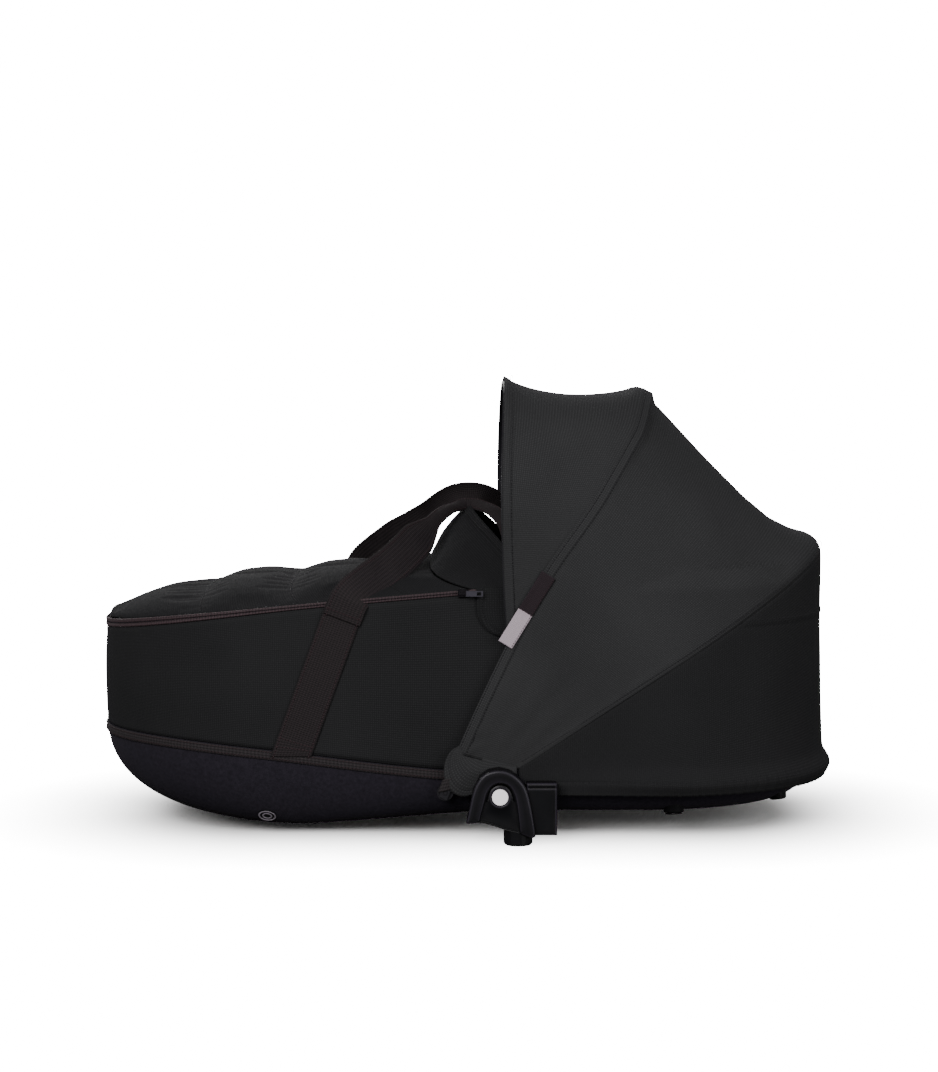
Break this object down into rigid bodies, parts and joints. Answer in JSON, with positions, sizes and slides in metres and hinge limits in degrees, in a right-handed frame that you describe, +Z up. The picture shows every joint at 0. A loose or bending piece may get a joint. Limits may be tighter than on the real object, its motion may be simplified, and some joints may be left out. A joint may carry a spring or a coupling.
{
  "type": "carrycot",
  "caption": "Soft-walled carrycot with a moulded base, quilted zip-on apron, folding canopy, webbing carry handles and side adapters for a pushchair frame.",
  "frame": {"origin": "centre of the plan outline, at the height of the adapter pegs' lower faces", "axes": "+X towards the head end under the canopy, +Y towards the left side, +Z up"},
  "size_m": [0.7942, 0.444, 0.4793],
  "materials": {
    "moulded_felt": "matt felt",
    "canopy_cloth": "woven, matt",
    "skirt_cloth": "woven, matt",
    "quilted_cloth": "quilted, matt",
    "webbing": "woven webbing",
    "zip_tape": "coil zip",
    "zip_metal": "satin",
    "moulded_plastic": "fine grain",
    "white_plastic": "smooth",
    "steel": "plain",
    "lining_cloth": "jersey",
    "foam": "foam",
    "floor_board": "plain",
    "tag_cloth": "woven tape"
  },
  "bodies": {
    "root": {"base_shell": "moulded_felt", "base_binding": "webbing", "floor_board": "floor_board", "mattress": "lining_cloth", "inner_liner": "lining_cloth", "side_wall": "canopy_cloth", "wall_pad": "foam", "rim_frame": "steel", "apron": "quilted_cloth", "zip_chain": "zip_tape", "rear_rib": "moulded_plastic", "main_panel": "canopy_cloth", "skirt": "skirt_cloth", "flap_tab_left": "quilted_cloth", "flap_tab_right": "quilted_cloth", "strap_foot_left": "webbing", "strap_foot_right": "webbing", "strap_head_left": "webbing", "strap_head_right": "webbing", "canopy_hub_left": "moulded_plastic", "canopy_hub_right": "moulded_plastic", "rear_rivet_left": "steel", "rear_rivet_right": "steel", "adapter_housing_left": "moulded_plastic", "adapter_housing_right": "moulded_plastic", "button_spring_left": "steel", "button_spring_right": "steel", "latch_pin_left": "steel", "latch_pin_right": "steel", "base_disc_left": "moulded_plastic", "base_disc_right": "moulded_plastic", "rear_foot_left": "moulded_plastic", "rear_foot_right": "moulded_plastic", "end_foot_left": "moulded_plastic", "end_foot_right": "moulded_plastic"},
    "canopy_main": {"main_rib": "moulded_plastic", "visor_panel": "canopy_cloth", "label_tag": "tag_cloth", "visor_pin_left": "steel", "visor_pin_right": "steel", "rib_pocket_left": "canopy_cloth", "rib_pocket_right": "canopy_cloth"},
    "canopy_front": {"front_rib": "moulded_plastic"},
    "carry_left": {"handle_left": "webbing"},
    "carry_right": {"handle_right": "webbing"},
    "flap": {"wind_flap": "quilted_cloth"},
    "slider_left": {"zip_slider_left": "zip_metal"},
    "slider_right": {"zip_slider_right": "zip_metal"},
    "pull_left": {"zip_pull_left": "zip_metal"},
    "pull_right": {"zip_pull_right": "zip_metal"},
    "button_left": {"release_button_left": "white_plastic"},
    "button_right": {"release_button_right": "white_plastic"},
    "latch_left": {"latch_lever_left": "moulded_plastic"},
    "latch_right": {"latch_lever_right": "moulded_plastic"}
  },
  "joints": [
    {"name": "canopy_fold", "type": "hinge", "parent": "root", "child": "canopy_main", "pos_m": [-0.0247, 0, 0.0516], "axis": [0, 1, 0], "range_deg": [0, 27], "deforming": ["main_panel"]},
    {"name": "visor_fold", "type": "hinge", "parent": "canopy_main", "child": "canopy_front", "pos_m": [0.044, 0, 0.20425], "axis": [0, 1, 0], "range_deg": [0, 22], "deforming": ["visor_panel"]},
    {"name": "flap_fold", "type": "hinge", "parent": "root", "child": "flap", "pos_m": [-0.034, 0, 0.269], "axis": [0, 1, 0], "range_deg": [0, 35]},
    {"name": "carry_swing_left", "type": "hinge", "parent": "root", "child": "carry_left", "pos_m": [0, 0.1876, 0.263], "axis": [-1, 0, 0], "range_deg": [0, 40]},
    {"name": "zip_slide_left", "type": "slide", "parent": "root", "child": "slider_left", "axis": [-0.9964, 0, -0.0847], "range_m": [0, 0.072]},
    {"name": "pull_swing_left", "type": "hinge", "parent": "slider_left", "child": "pull_left", "pos_m": [-0.0028, 0.192, 0.25868], "axis": [0, 0, 1], "range_deg": [0, 160]},
    {"name": "button_press_left", "type": "slide", "parent": "root", "child": "button_left", "axis": [0, -1, 0], "range_m": [0, 0.003], "stiffness_N_per_m": 400, "springref_m": -0.002, "deforming": ["button_spring_left"]},
    {"name": "latch_turn_left", "type": "hinge", "parent": "root", "child": "latch_left", "pos_m": [0.041, 0.208, 0.034], "axis": [1, 0, 0], "range_deg": [0, 9.83]},
    {"name": "carry_swing_right", "type": "hinge", "parent": "root", "child": "carry_right", "pos_m": [0, -0.1876, 0.263], "axis": [1, 0, 0], "range_deg": [0, 40]},
    {"name": "zip_slide_right", "type": "slide", "parent": "root", "child": "slider_right", "axis": [-0.9964, 0, -0.0847], "range_m": [0, 0.072]},
    {"name": "pull_swing_right", "type": "hinge", "parent": "slider_right", "child": "pull_right", "pos_m": [-0.0028, -0.192, 0.25868], "axis": [0, 0, -1], "range_deg": [0, 160]},
    {"name": "button_press_right", "type": "slide", "parent": "root", "child": "button_right", "axis": [0, 1, 0], "range_m": [0, 0.003], "stiffness_N_per_m": 400, "springref_m": -0.002, "deforming": ["button_spring_right"]},
    {"name": "latch_turn_right", "type": "hinge", "parent": "root", "child": "latch_right", "pos_m": [0.041, -0.208, 0.034], "axis": [-1, 0, 0], "range_deg": [0, 9.83]}
  ],
  "couplings": [
    {"joint": "latch_turn_left", "follows": "button_press_left", "rad_per_m": 57.143},
    {"joint": "latch_turn_right", "follows": "button_press_right", "rad_per_m": 57.143}
  ]
}
